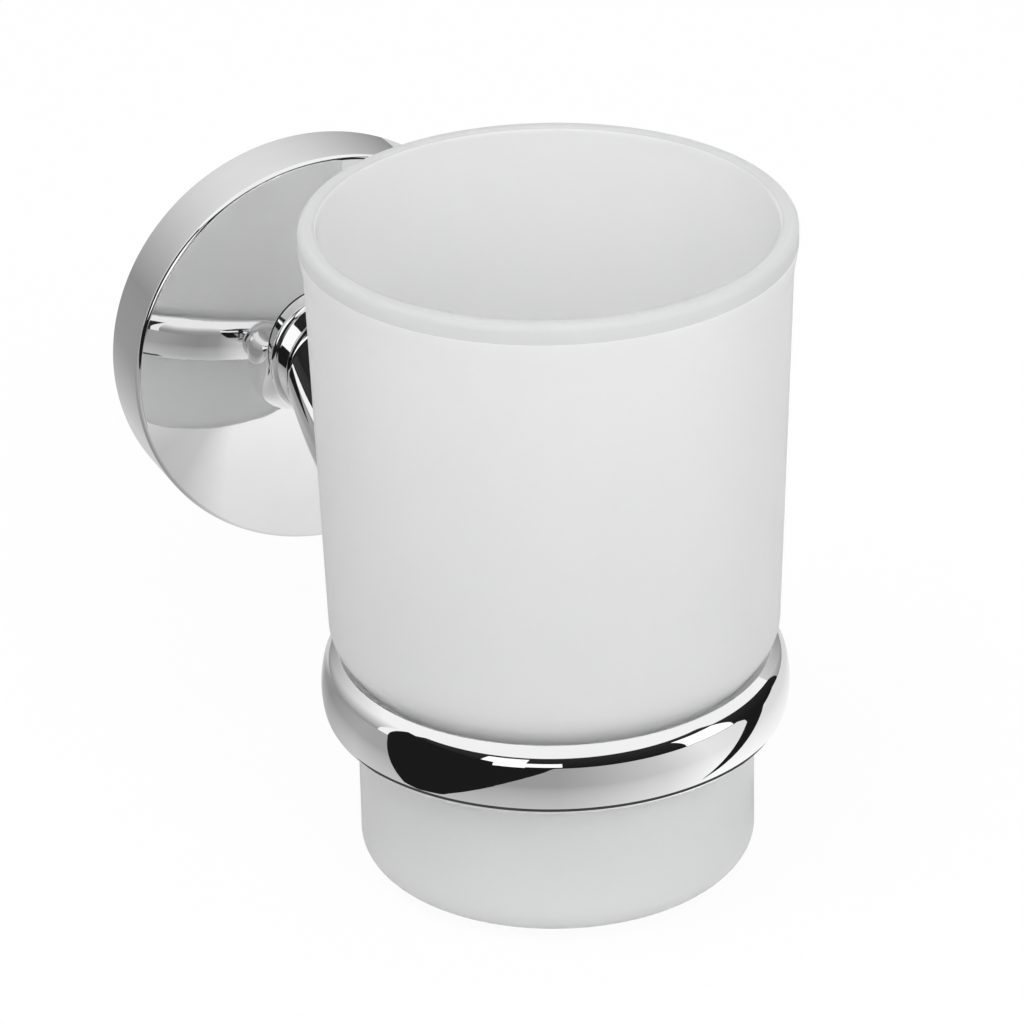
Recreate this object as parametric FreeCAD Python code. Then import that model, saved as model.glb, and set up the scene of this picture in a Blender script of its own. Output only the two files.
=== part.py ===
"""Wall-mounted tumbler holder: a frosted glass tumbler stands in a chromed ring on a curved arm and rosette.

Millimetres. The origin is on the wall, on the rosette's axis. +Z is up, and the holder reaches out along -Y.
"""
import FreeCAD, Part
import math
import os

V = FreeCAD.Vector
UP = V(0, 0, 1)
OUTWARD = V(0, -1, 0)

# Layout
RING_REACH = 88.0        # from the wall to the tumbler's axis
RING_DROP = 15.2         # from the rosette's axis down to the arm's end in the ring

# Tumbler
TUMBLER_HEIGHT = 93.1
LIP_RADIUS = 32.5
LIP_FLARE = 0.6          # how far the lip stands proud of the body
LIP_BAND = 2.9           # height from the lip's widest place to its top
LIP_BLEND = 3.8          # height over which the body swells into the lip
LIP_EDGE_ROUND = 0.5     # at the lip's widest place
LIP_OUTER_ROUND = 1.1
LIP_INNER_ROUND = 0.9
SHOULDER_WIDTH = 2.65    # from the step's edge out to the body just above the shoulder
SHOULDER_HEIGHT = 3.7    # height of the shoulder's slope above its step
SHOULDER_ROUND = 5.0
STEP_HEIGHT = 30.6       # height of the step that stands on the ring's ledge
STEP_WIDTH = 0.8         # how far the step stands out from the foot
STEP_ROUND = 0.3
FOOT_RADIUS = 26.7
FOOT_BEVEL_HEIGHT = 2.2
FOOT_BEVEL_WIDTH = 4.6
FOOT_SIDE_ROUND = 3.0
FOOT_BASE_ROUND = 8.0
PUNT_RADIUS = 17.0       # shallow hollow under the foot
PUNT_DEPTH = 1.2
PUNT_EDGE = 2.0
WALL_TUMBLER = 2.4
BASE_TUMBLER = 5.0
BASE_INNER_ROUND = 6.0

# Ring
RING_HOLE_CLEARANCE = 0.35   # around the tumbler's foot
RING_TOP = 9.65              # ring's top edge below the rosette's axis
RING_HEIGHT = 10.5
RING_LEDGE_DEPTH = 1.1       # rebate that the tumbler's step stands in
RING_REBATE_CLEARANCE = 1.4  # around the tumbler's step
RING_BEVEL_WIDTH = 1.2       # outward sloping top bevel
RING_BEVEL_HEIGHT = 0.95
RING_BROW_WIDTH = 0.75       # tight turn from the bevel's edge into the side
RING_BROW_HEIGHT = 0.65
RING_BROW_ROUND = 3.0
RING_SWELL_WIDTH = 0.9       # how far the side swells past the brow
RING_SWELL_HEIGHT = 3.75
RING_SIDE_LEAN = 1.0
RING_SIDE_ROUND = 12.5
RING_LOWER_ROUND = 2.9
RING_HOLE_ROUND = 0.4
SEAT_GAP = 0.1               # between the tumbler's step and the ledge

# Rosette
ROSETTE_RADIUS = 29.8
RIM_DEPTH = 9.9
RIM_WALL = 3.4
RIM_ROUND = 1.2
FACE_CROWN_WIDTH = 9.8       # from the rim in to the middle of the face's crown
FACE_EDGE_RISE = 1.02        # rise of the face over that width
FACE_INNER_RISE = 0.88       # rise from there to the neck
FACE_CROWN_ROUND = 700.0
FACE_WALL = 2.1
NECK_RADIUS = 9.5
NECK_ROUND = 3.0
NECK_LENGTH = 4.4            # from the face to the joint with the arm
BOSS_THICKNESS = 4.2         # solid middle that the arm is screwed to
COUNTERBORE_GAP = 1.1        # around the arm screw's washer

# Arm
ARM_END_RADIUS = 4.6
ARM_STATIONS = 7
ARM_FALL_POWER = 3.0         # how quickly the arm levels out after the neck
ARM_TAPER_POWER = 1.8        # how late the arm thins
SPIGOT_RADIUS = 2.95
SPIGOT_LENGTH = 2.9
SPIGOT_END_GAP = 0.1
BRAZE_GAP = 0.05

# Arm screw, lock washer and locating pin
ARM_SCREW_RADIUS = 2.5
ARM_SCREW_GRIP = 5.2         # length of thread inside the arm
ARM_SCREW_END_GAP = 0.8
ARM_SCREW_HEAD_RADIUS = 4.2
ARM_SCREW_HEAD_HEIGHT = 3.2
ARM_SCREW_SOCKET = 4.0       # across the flats
ARM_SCREW_SOCKET_DEPTH = 2.0
HEAD_ROUND = 0.5
THREAD_GAP = 0.05
SHANK_CLEARANCE = 0.25
WASHER_THICKNESS = 1.2
WASHER_WIDTH = 1.75
WASHER_SLIT = 0.8
PIN_RADIUS = 1.25
PIN_LENGTH = 6.0
PIN_OFFSET = 5.6             # below the rosette's axis
PIN_CHAMFER = 0.3
PIN_GAP = 0.03

# Wall bracket
BRACKET_GAP = 0.4            # to the inside of the rosette's rim
BRACKET_DEPTH = 7.6
BRACKET_PLATE = 2.5
BRACKET_RIM = 4.2
BRACKET_HOLE_RADIUS = 6.0    # room for the arm screw's head
BRACKET_ROUND = 0.6
WALL_SCREW_SPACING = 30.0
WALL_SCREW_HOLE_RADIUS = 2.4
GROOVE_DEPTH = 1.4           # vee that the set screw's point bears in
GROOVE_HALF_WIDTH = 1.9

# Set screw
SET_SCREW_RADIUS = 2.0
SET_SCREW_LENGTH = 4.0
SET_SCREW_TIP_RADIUS = 0.6
SET_SCREW_TIP_HEIGHT = 1.4
SET_SCREW_SOCKET = 2.0       # across the flats
SET_SCREW_SOCKET_DEPTH = 1.8
SET_SCREW_DEPTH = 5.0        # from the wall to the screw's axis
TIP_GAP = 0.1                # between the point's edge and the groove's sides

# Places worked out from the sizes above
RING_AXIS = OUTWARD * RING_REACH
LEDGE_LEVEL = -RING_TOP - RING_LEDGE_DEPTH
TUMBLER_BASE = LEDGE_LEVEL + SEAT_GAP - STEP_HEIGHT
STEP_RADIUS = FOOT_RADIUS + STEP_WIDTH
SHOULDER_RADIUS = STEP_RADIUS + SHOULDER_WIDTH
RING_HOLE_RADIUS = FOOT_RADIUS + RING_HOLE_CLEARANCE
RING_REBATE_RADIUS = STEP_RADIUS + RING_REBATE_CLEARANCE
RING_EDGE_RADIUS = RING_REBATE_RADIUS + RING_BEVEL_WIDTH
RING_BOTTOM = -RING_TOP - RING_HEIGHT
FACE_CROWN_DEPTH = RIM_DEPTH + FACE_EDGE_RISE
NECK_BASE = FACE_CROWN_DEPTH + FACE_INNER_RISE
SEAM_DEPTH = NECK_BASE + NECK_LENGTH
BOSS_DEPTH = SEAM_DEPTH - BOSS_THICKNESS
BRACKET_RADIUS = ROSETTE_RADIUS - RIM_WALL - BRACKET_GAP
WASHER_HOLE_RADIUS = ARM_SCREW_RADIUS + SHANK_CLEARANCE
WASHER_RADIUS = WASHER_HOLE_RADIUS + WASHER_WIDTH


def outline(corners, place):
    """Closed wire through (across, along, rounding) corners, set in space by place(across, along)."""
    stretches = []
    for i, (across, along, rounding) in enumerate(corners):
        corner = V(across, along, 0)
        following = corners[(i + 1) % len(corners)]
        back = (V(corners[i - 1][0], corners[i - 1][1], 0) - corner).normalize()
        ahead = (V(following[0], following[1], 0) - corner).normalize()
        if rounding == 0:
            stretches.append([corner])
            continue
        half = back.getAngle(ahead) / 2
        middle = (back + ahead).normalize() * (rounding / math.sin(half) - rounding)
        reach = rounding / math.tan(half)
        stretches.append([corner + back * reach, corner + middle, corner + ahead * reach])
    edges = []
    for i, points in enumerate(stretches):
        spots = [place(p.x, p.y) for p in points]
        if len(spots) == 3:
            edges.append(Part.Arc(*spots).toShape())
        target = stretches[(i + 1) % len(stretches)][0]
        edges.append(Part.LineSegment(spots[-1], place(target.x, target.y)).toShape())
    return Part.Wire(edges)


def turned_upright(corners, axis_point):
    """Solid turned about a vertical axis, from (radius, height, rounding) corners."""
    wire = outline(corners, lambda radius, height: axis_point + V(radius, 0, height))
    return Part.Face(wire).revolve(axis_point, UP, 360)


def turned_outward(corners):
    """Solid turned about the rosette's axis, from (radius, depth from the wall, rounding) corners."""
    wire = outline(corners, lambda radius, depth: V(radius, -depth, 0))
    return Part.Face(wire).revolve(V(0, 0, 0), OUTWARD, 360)


def rod(radius, start, length, direction):
    """Plain round bar."""
    return Part.makeCylinder(radius, length, start, direction)


def hexagon_bar(across_flats, start, length, direction):
    """Six-sided bar for cutting a key socket."""
    corner_radius = across_flats / math.sqrt(3)
    turn = FreeCAD.Rotation(UP, direction)
    points = []
    for i in range(7):
        angle = math.radians(60 * i)
        spoke = V(corner_radius * math.cos(angle), corner_radius * math.sin(angle), 0)
        points.append(start + turn.multVec(spoke))
    return Part.Face(Part.makePolygon(points)).extrude(direction * length)


def make_tumbler():
    """Frosted glass tumbler: flared lip, tapering body, rounded shoulder, stepped foot and a shallow punt."""
    shoulder_top = STEP_HEIGHT + SHOULDER_HEIGHT
    lip_widest = TUMBLER_HEIGHT - LIP_BAND
    lip_start = lip_widest - LIP_BLEND
    inner_lip = LIP_RADIUS - WALL_TUMBLER
    inner_shoulder = SHOULDER_RADIUS - WALL_TUMBLER
    inner_foot = FOOT_RADIUS - WALL_TUMBLER
    corners = [
        (0, PUNT_DEPTH, 0),
        (PUNT_RADIUS - PUNT_EDGE, PUNT_DEPTH, 0),
        (PUNT_RADIUS, 0, 0),
        (FOOT_RADIUS - FOOT_BEVEL_WIDTH, 0, FOOT_BASE_ROUND),
        (FOOT_RADIUS, FOOT_BEVEL_HEIGHT, FOOT_SIDE_ROUND),
        (FOOT_RADIUS, STEP_HEIGHT, 0),
        (STEP_RADIUS, STEP_HEIGHT, STEP_ROUND),
        (SHOULDER_RADIUS, shoulder_top, SHOULDER_ROUND),
        (LIP_RADIUS - LIP_FLARE, lip_start, LIP_BLEND),
        (LIP_RADIUS, lip_widest, LIP_EDGE_ROUND),
        (LIP_RADIUS, TUMBLER_HEIGHT, LIP_OUTER_ROUND),
        (inner_lip, TUMBLER_HEIGHT, LIP_INNER_ROUND),
        (inner_shoulder, shoulder_top, SHOULDER_ROUND),
        (inner_foot, STEP_HEIGHT, SHOULDER_ROUND),
        (inner_foot, BASE_TUMBLER, BASE_INNER_ROUND),
        (0, BASE_TUMBLER, 0),
    ]
    return turned_upright(corners, RING_AXIS + UP * TUMBLER_BASE)


def ring_side(margin):
    """Outside of the ring's section, grown by a margin: underside, swelling side, brow and bevel edge."""
    edge_level = -RING_TOP - RING_BEVEL_HEIGHT
    brow_level = edge_level - RING_BROW_HEIGHT
    brow_radius = RING_EDGE_RADIUS + RING_BROW_WIDTH + margin
    swell_radius = brow_radius + RING_SWELL_WIDTH
    return [
        (swell_radius - RING_SIDE_LEAN, RING_BOTTOM, RING_LOWER_ROUND),
        (swell_radius, brow_level - RING_SWELL_HEIGHT, RING_SIDE_ROUND),
        (brow_radius, brow_level, RING_BROW_ROUND),
        (RING_EDGE_RADIUS + margin, edge_level, 0),
    ]


def ring_corners():
    """Whole section of the ring, with its hole and the rebate that the tumbler stands in."""
    return ring_side(0) + [
        (RING_REBATE_RADIUS, -RING_TOP, 0),
        (RING_REBATE_RADIUS, LEDGE_LEVEL, 0),
        (RING_HOLE_RADIUS, LEDGE_LEVEL, 0),
        (RING_HOLE_RADIUS, RING_BOTTOM, RING_HOLE_ROUND),
    ]


def arm_end_depth():
    """Distance from the wall to the ring's side at the arm's level."""
    section = Part.Face(outline(ring_corners(), lambda radius, height: V(radius, 0, height)))
    level = V(0, 0, -RING_DROP)
    level_line = Part.LineSegment(level, level + V(2 * RING_EDGE_RADIUS, 0, 0)).toShape()
    return RING_REACH - section.common(level_line).BoundBox.XMax


def make_ring():
    """Chromed ring with a blind socket in its back for the arm's spigot."""
    ring = turned_upright(ring_corners(), RING_AXIS)
    start = OUTWARD * SEAM_DEPTH - UP * RING_DROP
    length = arm_end_depth() + SPIGOT_LENGTH + SPIGOT_END_GAP - SEAM_DEPTH
    return ring.cut(rod(SPIGOT_RADIUS + BRAZE_GAP, start, length, OUTWARD))


def arm_station(share):
    """Round section of the arm at a share of its way from the neck to the ring."""
    depth = SEAM_DEPTH + share * (RING_REACH - RING_EDGE_RADIUS - SEAM_DEPTH)
    level = -RING_DROP * (1 - (1 - share) ** ARM_FALL_POWER)
    radius = NECK_RADIUS + share ** ARM_TAPER_POWER * (ARM_END_RADIUS - NECK_RADIUS)
    return Part.Wire(Part.makeCircle(radius, V(0, -depth, level), OUTWARD))


def make_arm():
    """Tapering round arm that falls from the neck and levels out into the ring."""
    sections = [arm_station(i / (ARM_STATIONS - 1)) for i in range(ARM_STATIONS)]
    arm = Part.makeLoft(sections, True, False)
    edge_level = -RING_TOP - RING_BEVEL_HEIGHT
    ring_space = [(0, RING_BOTTOM, 0)] + ring_side(BRAZE_GAP) + [(0, edge_level, 0)]
    arm = arm.cut(turned_upright(ring_space, RING_AXIS))
    root = arm_end_depth() - ARM_END_RADIUS
    spigot = rod(SPIGOT_RADIUS, OUTWARD * root - UP * RING_DROP, ARM_END_RADIUS + SPIGOT_LENGTH, OUTWARD)
    arm = arm.fuse(spigot)
    seam = OUTWARD * SEAM_DEPTH
    thread = rod(ARM_SCREW_RADIUS + THREAD_GAP, seam, ARM_SCREW_GRIP + ARM_SCREW_END_GAP, OUTWARD)
    pin_hole = rod(PIN_RADIUS + PIN_GAP, seam - UP * PIN_OFFSET, PIN_LENGTH / 2 + PIN_GAP, OUTWARD)
    return arm.cut(thread).cut(pin_hole)


def make_rosette():
    """Hollow cover: low face, neck, solid middle for the arm's screw and a tapped hole under its rim."""
    crown_radius = ROSETTE_RADIUS - FACE_CROWN_WIDTH
    cover = turned_outward([
        (0, 0, 0),
        (ROSETTE_RADIUS, 0, 0),
        (ROSETTE_RADIUS, RIM_DEPTH, RIM_ROUND),
        (crown_radius, FACE_CROWN_DEPTH, FACE_CROWN_ROUND),
        (NECK_RADIUS, NECK_BASE, min(NECK_ROUND, NECK_LENGTH)),
        (NECK_RADIUS, SEAM_DEPTH, 0),
        (0, SEAM_DEPTH, 0),
    ])
    counterbore = WASHER_RADIUS + COUNTERBORE_GAP
    cavity = turned_outward([
        (0, 0, 0),
        (ROSETTE_RADIUS - RIM_WALL, 0, 0),
        (ROSETTE_RADIUS - RIM_WALL, RIM_DEPTH - FACE_WALL, 0),
        (crown_radius, FACE_CROWN_DEPTH - FACE_WALL, 0),
        (counterbore, FACE_CROWN_DEPTH - FACE_WALL, 0),
        (counterbore, BOSS_DEPTH, 0),
        (0, BOSS_DEPTH, 0),
    ])
    shank_hole = rod(WASHER_HOLE_RADIUS, V(0, 0, 0), SEAM_DEPTH, OUTWARD)
    pin_start = OUTWARD * (SEAM_DEPTH - PIN_LENGTH / 2 - PIN_GAP) - UP * PIN_OFFSET
    pin_hole = rod(PIN_RADIUS + PIN_GAP, pin_start, PIN_LENGTH, OUTWARD)
    tapped_hole = rod(SET_SCREW_RADIUS + THREAD_GAP, OUTWARD * SET_SCREW_DEPTH, 2 * ROSETTE_RADIUS, -UP)
    return cover.cut(cavity).cut(shank_hole).cut(pin_hole).cut(tapped_hole)


def make_bracket():
    """Cup-shaped wall bracket with two wall screw holes and a vee groove round its rim."""
    inner = BRACKET_RADIUS - BRACKET_RIM
    cup = turned_outward([
        (BRACKET_HOLE_RADIUS, 0, 0),
        (BRACKET_RADIUS, 0, BRACKET_ROUND),
        (BRACKET_RADIUS, SET_SCREW_DEPTH - GROOVE_HALF_WIDTH, 0),
        (BRACKET_RADIUS - GROOVE_DEPTH, SET_SCREW_DEPTH, 0),
        (BRACKET_RADIUS, SET_SCREW_DEPTH + GROOVE_HALF_WIDTH, 0),
        (BRACKET_RADIUS, BRACKET_DEPTH, 0),
        (inner, BRACKET_DEPTH, BRACKET_ROUND),
        (inner, BRACKET_PLATE, BRACKET_ROUND),
        (BRACKET_HOLE_RADIUS, BRACKET_PLATE, 0),
    ])
    for side in (-1, 1):
        spot = V(side * WALL_SCREW_SPACING / 2, 0, 0)
        cup = cup.cut(rod(WALL_SCREW_HOLE_RADIUS, spot, BRACKET_PLATE, OUTWARD))
    return cup


def make_arm_screw():
    """Socket head screw from inside the rosette into the arm."""
    head_end = BOSS_DEPTH - WASHER_THICKNESS
    head_start = head_end - ARM_SCREW_HEAD_HEIGHT
    screw = turned_outward([
        (0, head_start, 0),
        (ARM_SCREW_HEAD_RADIUS, head_start, HEAD_ROUND),
        (ARM_SCREW_HEAD_RADIUS, head_end, 0),
        (ARM_SCREW_RADIUS, head_end, 0),
        (ARM_SCREW_RADIUS, SEAM_DEPTH + ARM_SCREW_GRIP, 0),
        (0, SEAM_DEPTH + ARM_SCREW_GRIP, 0),
    ])
    return screw.cut(hexagon_bar(ARM_SCREW_SOCKET, OUTWARD * head_start, ARM_SCREW_SOCKET_DEPTH, OUTWARD))


def make_washer():
    """Split lock washer under the arm screw's head."""
    start = OUTWARD * (BOSS_DEPTH - WASHER_THICKNESS)
    washer = rod(WASHER_RADIUS, start, WASHER_THICKNESS, OUTWARD)
    washer = washer.cut(rod(WASHER_HOLE_RADIUS, start, WASHER_THICKNESS, OUTWARD))
    slit_corner = start + V(-WASHER_SLIT / 2, -WASHER_THICKNESS, 0)
    slit = Part.makeBox(WASHER_SLIT, WASHER_THICKNESS, WASHER_RADIUS, slit_corner)
    return washer.cut(slit)


def make_pin():
    """Locating pin that keeps the arm from turning on the rosette."""
    start = OUTWARD * (SEAM_DEPTH - PIN_LENGTH / 2) - UP * PIN_OFFSET
    pin = rod(PIN_RADIUS, start, PIN_LENGTH, OUTWARD)
    ends = [edge for edge in pin.Edges if isinstance(edge.Curve, Part.Circle)]
    return pin.makeChamfer(PIN_CHAMFER, ends)


def make_set_screw():
    """Cone-point set screw under the rosette's rim, bearing in the bracket's groove."""
    groove_rise = SET_SCREW_TIP_RADIUS * GROOVE_DEPTH / GROOVE_HALF_WIDTH
    point = -(BRACKET_RADIUS - GROOVE_DEPTH + groove_rise + TIP_GAP)
    corners = [
        (0, point - SET_SCREW_LENGTH, 0),
        (SET_SCREW_RADIUS, point - SET_SCREW_LENGTH, 0),
        (SET_SCREW_RADIUS, point - SET_SCREW_TIP_HEIGHT, 0),
        (SET_SCREW_TIP_RADIUS, point, 0),
        (0, point, 0),
    ]
    screw = turned_upright(corners, OUTWARD * SET_SCREW_DEPTH)
    socket_start = OUTWARD * SET_SCREW_DEPTH + UP * (point - SET_SCREW_LENGTH)
    return screw.cut(hexagon_bar(SET_SCREW_SOCKET, socket_start, SET_SCREW_SOCKET_DEPTH, UP))


PIECES = {
    "tumbler_glass": make_tumbler,
    "holder_ring": make_ring,
    "holder_arm": make_arm,
    "rosette": make_rosette,
    "wall_bracket": make_bracket,
    "arm_screw": make_arm_screw,
    "lock_washer": make_washer,
    "locating_pin": make_pin,
    "set_screw": make_set_screw,
}

os.makedirs("parts", exist_ok=True)
for name, make in PIECES.items():
    shape = make()
    shape.exportStep(f"parts/{name}.step")
    print(name, "valid", shape.isValid(), "solids", len(shape.Solids), "volume", round(shape.Volume, 1))
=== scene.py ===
"""Chromed wall holder with a frosted glass tumbler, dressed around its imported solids."""
import logging
import math
from dataclasses import dataclass, field
from enum import Enum

import bmesh
import bpy
from mathutils import Matrix, Vector


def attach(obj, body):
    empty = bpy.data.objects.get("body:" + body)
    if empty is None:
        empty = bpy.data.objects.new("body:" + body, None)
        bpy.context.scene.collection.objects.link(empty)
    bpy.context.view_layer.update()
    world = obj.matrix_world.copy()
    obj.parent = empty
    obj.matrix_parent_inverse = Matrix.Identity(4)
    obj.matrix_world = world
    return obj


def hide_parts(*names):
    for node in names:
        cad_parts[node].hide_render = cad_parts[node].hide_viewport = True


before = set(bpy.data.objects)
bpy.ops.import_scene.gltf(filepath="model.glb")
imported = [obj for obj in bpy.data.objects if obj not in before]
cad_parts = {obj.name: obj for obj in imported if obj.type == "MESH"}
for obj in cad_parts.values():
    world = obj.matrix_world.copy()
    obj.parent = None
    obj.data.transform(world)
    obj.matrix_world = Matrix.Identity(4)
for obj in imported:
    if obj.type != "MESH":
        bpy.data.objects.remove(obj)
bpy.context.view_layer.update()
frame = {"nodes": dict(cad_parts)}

MM = 0.001
MERGE = 1e-6
LOG = logging.getLogger("tumbler_holder")

Colour = tuple[float, float, float, float]
Tree = bpy.types.NodeTree
Node = bpy.types.Node
Socket = bpy.types.NodeSocket
Material = bpy.types.Material
Object = bpy.types.Object
Mesh = bmesh.types.BMesh


class Body(Enum):
    """Bodies that the built pieces ride on."""

    HOLDER = "holder"
    TUMBLER = "tumbler"


class Slot(Enum):
    """Names of material slots, one held by each built piece."""

    GLASS = "frosted_glass"
    CHROME = "chrome"


def node_at(tree: Tree, kind: str, place: tuple[float, float], **values: object) -> Node:
    """Adds a node and sets its inputs by name.

    Args:
        tree: node tree that gets the node.
        kind: Blender's type name of the node.
        place: where the node stands in the editor.
        values: input values, with underscores for the blanks in the names.

    Returns:
        The new node.
    """
    node = tree.nodes.new(kind)
    node.location = place
    for name, value in values.items():
        node.inputs[name.replace("_", " ")].default_value = value
    return node


def wire(tree: Tree, *links: tuple[Node, str, Node, str | int]) -> None:
    """Links outputs of nodes to inputs of others, each by its name or its place."""
    for source, output, target, slot in links:
        tree.links.new(source.outputs[output], target.inputs[slot])


def sum_at(tree: Tree, operation: str, place: tuple[float, float], *values: object,
           kind: str = "ShaderNodeMath") -> Node:
    """Adds a node that does a sum and sets its inputs in order.

    Args:
        tree: node tree that gets the node.
        operation: Blender's name of the sum.
        place: where the node stands in the editor.
        values: input values, with None for inputs that are linked.
        kind: Blender's type name, for sums on numbers or on vectors.

    Returns:
        The new node.
    """
    node = node_at(tree, kind, place)
    node.operation = operation
    for socket, value in zip(node.inputs, values):
        if value is not None:
            socket.default_value = value
    return node


def placed(name: str, data: bpy.types.ID) -> Object:
    """Puts a new object with the given data into the scene."""
    made = bpy.data.objects.new(name, data)
    bpy.context.scene.collection.objects.link(made)
    return made


def placed_mesh(name: str, mesh: Mesh) -> Object:
    """Puts a bmesh into the scene as an object, and frees it."""
    data = bpy.data.meshes.new(name)
    mesh.to_mesh(data)
    mesh.free()
    return placed(name, data)


def verts_of(geom: list) -> list[bmesh.types.BMVert]:
    """The vertices among what a mesh operator gives back."""
    return [item for item in geom if isinstance(item, bmesh.types.BMVert)]


class SurfaceGroups:
    """Node groups that several finishes share, each built once."""

    COARSE_STEP = 0.08
    CHOSEN_CELLS = 0.8

    def __init__(self) -> None:
        """Builds the groups."""
        self.mottle = self._mottle()
        self.grain = self._grain()
        self.specks = self._specks()

    @staticmethod
    def _new(name: str, inputs: dict[str, float],
             output: str) -> tuple[Tree, Node, Node]:
        """Makes an empty group with a Vector input, number inputs and one number output.

        Args:
            name: the group's name.
            inputs: names and standing values of the number inputs.
            output: name of the output.

        Returns:
            The group with its input and output nodes.
        """
        tree = bpy.data.node_groups.new(name, "ShaderNodeTree")
        tree.interface.new_socket("Vector", in_out="INPUT", socket_type="NodeSocketVector")
        for label, value in inputs.items():
            socket = tree.interface.new_socket(label, in_out="INPUT", socket_type="NodeSocketFloat")
            socket.default_value = value
        tree.interface.new_socket(output, in_out="OUTPUT", socket_type="NodeSocketFloat")
        start = node_at(tree, "NodeGroupInput", (-700, 0))
        end = node_at(tree, "NodeGroupOutput", (500, 0))
        return tree, start, end

    def _mottle(self) -> Tree:
        """Returns the soft cloudy variation between two values that handling and polishing leave."""
        tree, start, end = self._new("soft_mottle", {"Scale": 60.0, "Low": 0.0, "High": 1.0}, "Value")
        noise = node_at(tree, "ShaderNodeTexNoise", (-400, 0), Detail=3.0, Roughness=0.55)
        spread = node_at(tree, "ShaderNodeMapRange", (100, 0), From_Min=0.32, From_Max=0.68)
        wire(tree, (start, "Vector", noise, "Vector"), (start, "Scale", noise, "Scale"),
             (noise, "Fac", spread, "Value"), (start, "Low", spread, "To Min"), (start, "High", spread, "To Max"),
             (spread, "Result", end, "Value"))
        return tree

    def _grain(self) -> Tree:
        """Returns the fine grain of an etched or plated surface, as a height."""
        tree, start, end = self._new("fine_grain", {"Scale": 2500.0, "Coarse Share": 0.3}, "Height")
        fine = node_at(tree, "ShaderNodeTexNoise", (-400, 150), Detail=2.0, Roughness=0.6)
        coarse_scale = sum_at(tree, "MULTIPLY", (-550, -150), None, self.COARSE_STEP)
        coarse = node_at(tree, "ShaderNodeTexNoise", (-400, -150), Detail=2.0, Roughness=0.5)
        blend = node_at(tree, "ShaderNodeMix", (100, 0))
        for noise in (fine, coarse):
            wire(tree, (start, "Vector", noise, "Vector"))
        wire(tree, (start, "Scale", fine, "Scale"), (start, "Scale", coarse_scale, 0),
             (coarse_scale, "Value", coarse, "Scale"), (start, "Coarse Share", blend, "Factor"),
             (fine, "Fac", blend, "A"), (coarse, "Fac", blend, "B"), (blend, "Result", end, "Height"))
        return tree

    def _specks(self) -> Tree:
        """Returns a mask of few, tiny specks such as dust and pits."""
        tree, start, end = self._new("dust_specks", {"Scale": 140.0, "Size": 0.05}, "Mask")
        cells = node_at(tree, "ShaderNodeTexVoronoi", (-400, 0), Randomness=1.0)
        within = sum_at(tree, "LESS_THAN", (-150, 0))
        chosen = sum_at(tree, "GREATER_THAN", (-150, -200), None, self.CHOSEN_CELLS)
        both = sum_at(tree, "MULTIPLY", (100, 0))
        wire(tree, (start, "Vector", cells, "Vector"), (start, "Scale", cells, "Scale"),
             (cells, "Distance", within, 0), (start, "Size", within, 1), (cells, "Color", chosen, 0),
             (within, "Value", both, 0), (chosen, "Value", both, 1), (both, "Value", end, "Mask"))
        return tree


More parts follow.
